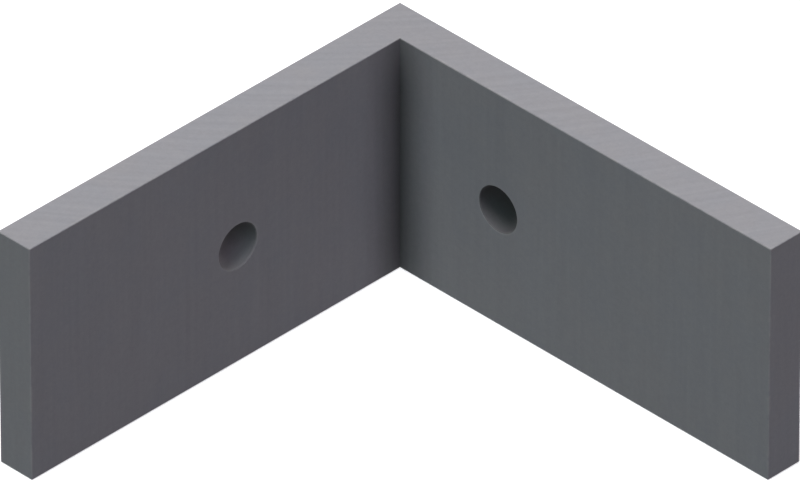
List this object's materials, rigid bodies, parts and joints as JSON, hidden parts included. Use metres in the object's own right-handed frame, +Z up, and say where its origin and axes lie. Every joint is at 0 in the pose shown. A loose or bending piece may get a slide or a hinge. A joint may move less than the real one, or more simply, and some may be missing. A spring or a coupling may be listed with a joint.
{
  "type": "angle bracket",
  "caption": "Equal-leg right-angle bracket with square edges, cut from flat-sided angle bar, with a plain bolt hole through each leg at mid-width.",
  "frame": {"origin": "outside corner of the heel, at the bottom of the bracket, where its two outer faces meet the L-shaped end that it stands on", "axes": "+X along one leg from the heel to its end, -Y along the other leg from the heel to its end, +Z up along the width of the bar; the inside of the angle is at +X -Y"},
  "size_m": [0.075, 0.075, 0.0375],
  "materials": {
    "grey_steel": "matte"
  },
  "bodies": {
    "root": {"angle_bracket": "grey_steel"}
  },
  "joints": []
}
